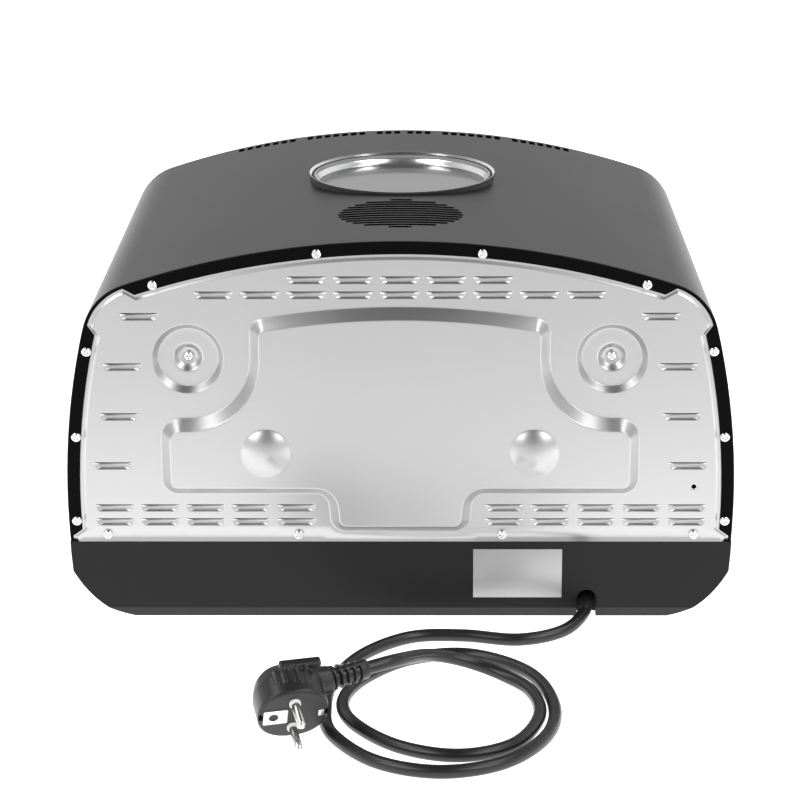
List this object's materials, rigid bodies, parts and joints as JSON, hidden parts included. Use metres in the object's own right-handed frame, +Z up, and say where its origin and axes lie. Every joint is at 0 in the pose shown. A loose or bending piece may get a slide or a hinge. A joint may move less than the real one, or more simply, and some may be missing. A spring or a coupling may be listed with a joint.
{
  "type": "electric pizza maker",
  "caption": "Electric pizza maker with arched steel housing, drop-down glass door, round roof window, pressed rear panel, two knobs and a coiled mains cord",
  "frame": {"origin": "Middle of the object's box in X and Y without its cord and plug, level with the underside of its rubber feet. The box runs from the door's handle to the domes of the rear panel.", "axes": "+Z up, +Y towards the pressed rear panel, -Y towards the door, +X to the left of someone who looks at the rear panel"},
  "size_m": [0.41, 0.6064, 0.2459],
  "materials": {
    "housing_paint": "satin dark grey paint",
    "rear_sheet": "pressed satin sheet",
    "base_plastic": "fine satin moulding",
    "knob_plastic": "smooth moulding",
    "screw_steel": "bright plated",
    "ring_chrome": "polished",
    "window_glass": "clear toughened",
    "seal_rubber": "soft matt",
    "zinc_sheet": "zinc plated sheet",
    "liner_sheet": "aluminised sheet",
    "wool": "mineral wool blanket",
    "rod_sheath": "dull heater sheath",
    "ceramic": "unglazed",
    "stone": "fine fired stone",
    "copper": "drawn copper",
    "door_paint": "satin dark paint",
    "handle_steel": "brushed bar",
    "switch_plastic": "pale moulding",
    "lamp_red": "clear coloured lens",
    "lamp_green": "clear coloured lens",
    "wire": "sleeved wires",
    "cord_rubber": "smooth satin sheath",
    "plug_plastic": "fine grained moulding",
    "pin_nickel": "nickel plated",
    "collar_plastic": "pale moulding"
  },
  "bodies": {
    "housing": {"base_tub": "base_plastic", "bottom_cover": "zinc_sheet", "bottom_screws": "screw_steel", "rubber_feet": "seal_rubber", "base_deck": "zinc_sheet", "control_panel": "base_plastic", "thermostat": "switch_plastic", "thermostat_probe": "copper", "timer_body": "switch_plastic", "power_lamp": "lamp_red", "heat_lamp": "lamp_green", "terminal_block": "switch_plastic", "cord_clamp": "base_plastic", "wiring_loom": "wire", "roof_cover": "housing_paint", "rear_panel": "rear_sheet", "flange_screws": "screw_steel", "lower_screws": "screw_steel", "dish_screws": "screw_steel", "window_bezel": "ring_chrome", "window_gasket": "seal_rubber", "window_glass": "window_glass", "window_collar": "liner_sheet", "inner_glass": "window_glass", "front_frame": "housing_paint", "liner_shell": "liner_sheet", "liner_rear": "liner_sheet", "liner_floor": "liner_sheet", "liner_feet": "zinc_sheet", "insulation": "wool", "upper_element": "rod_sheath", "lower_element": "rod_sheath", "element_bushes": "ceramic", "element_clips": "liner_sheet", "stone_stand": "zinc_sheet", "pizza_stone": "stone", "hinge_brackets": "zinc_sheet", "mains_cord": "cord_rubber", "cord_sleeve": "cord_rubber", "plug_body": "plug_plastic", "plug_pins": "pin_nickel", "pin_sleeves": "collar_plastic", "plug_contacts": "pin_nickel"},
    "door": {"door_shell": "door_paint", "door_liner": "liner_sheet", "door_glass": "window_glass", "door_seal": "seal_rubber", "door_screws": "screw_steel", "handle_bar": "handle_steel", "handle_posts": "handle_steel", "hinge_pins": "screw_steel"},
    "temperature_control": {"temperature_knob": "knob_plastic", "temperature_shaft": "screw_steel"},
    "timer_control": {"timer_knob": "knob_plastic", "timer_shaft": "screw_steel"}
  },
  "joints": [
    {"name": "door_hinge", "type": "hinge", "parent": "housing", "child": "door", "pos_m": [0, -0.1475, 0.0635], "axis": [1, 0, 0], "range_deg": [0, 88]},
    {"name": "temperature_turn", "type": "hinge", "parent": "housing", "child": "temperature_control", "pos_m": [-0.075, -0.1428, 0.027], "axis": [0, 1, 0], "range_deg": [0, 270]},
    {"name": "timer_turn", "type": "hinge", "parent": "housing", "child": "timer_control", "pos_m": [0.075, -0.1428, 0.027], "axis": [0, 1, 0], "range_deg": [0, 300]}
  ]
}
